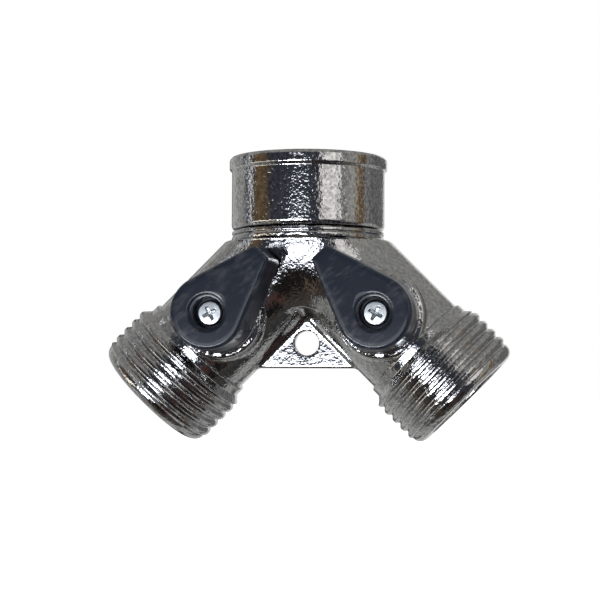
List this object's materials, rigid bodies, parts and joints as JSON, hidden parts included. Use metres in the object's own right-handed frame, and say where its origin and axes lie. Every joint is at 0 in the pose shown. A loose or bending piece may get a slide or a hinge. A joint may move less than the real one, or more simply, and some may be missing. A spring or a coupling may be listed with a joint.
{
  "type": "garden hose splitter with shut-off valves",
  "caption": "Chrome-plated Y-shaped garden hose splitter: a swivel threaded inlet, angled male threaded outlets, and a ball valve with a black teardrop lever on each arm.",
  "frame": {"origin": "centre of the inlet mouth, in the plane of the swivel nut's end face", "axes": "+Z points out of the inlet along its axis; the levers face -Y; the outlets lean down towards +X and -X"},
  "size_m": [0.0804, 0.0393, 0.0563],
  "materials": {
    "chrome_casting": "bright chrome plate over a slightly pebbled zinc casting",
    "chrome_nut": "bright chrome plate over turned and cast zinc",
    "chrome_ball": "polished chrome plate",
    "spring_steel": "plain spring steel",
    "brass": "turned brass",
    "plated_screw": "bright zinc plate",
    "white_seat_plastic": "smooth white low-friction plastic",
    "black_rubber": "matte black rubber",
    "black_lever_plastic": "satin blue-black moulded plastic with faint scuffs"
  },
  "bodies": {
    "nut": {"swivel_nut": "chrome_nut"},
    "casting": {"body": "chrome_casting", "retaining_ring": "spring_steel", "inlet_washer": "black_rubber", "left_inner_seat": "white_seat_plastic", "left_outer_seat": "white_seat_plastic", "left_seat_bush": "brass", "right_inner_seat": "white_seat_plastic", "right_outer_seat": "white_seat_plastic", "right_seat_bush": "brass"},
    "left_valve": {"left_ball": "chrome_ball", "left_stem": "brass", "left_slip_washer": "white_seat_plastic", "left_stem_o_ring": "black_rubber", "left_lever": "black_lever_plastic", "left_lever_screw": "plated_screw"},
    "right_valve": {"right_ball": "chrome_ball", "right_stem": "brass", "right_slip_washer": "white_seat_plastic", "right_stem_o_ring": "black_rubber", "right_lever": "black_lever_plastic", "right_lever_screw": "plated_screw"}
  },
  "joints": [
    {"name": "swivel", "type": "hinge", "parent": "nut", "child": "casting", "pos_m": [0, 0, 0], "axis": [0, 0, 1], "continuous": true},
    {"name": "left_valve_turn", "type": "hinge", "parent": "casting", "child": "left_valve", "pos_m": [-0.01577, 0, -0.03182], "axis": [0, -1, 0], "range_deg": [0, 90]},
    {"name": "right_valve_turn", "type": "hinge", "parent": "casting", "child": "right_valve", "pos_m": [0.01577, 0, -0.03182], "axis": [0, 1, 0], "range_deg": [0, 90]}
  ]
}
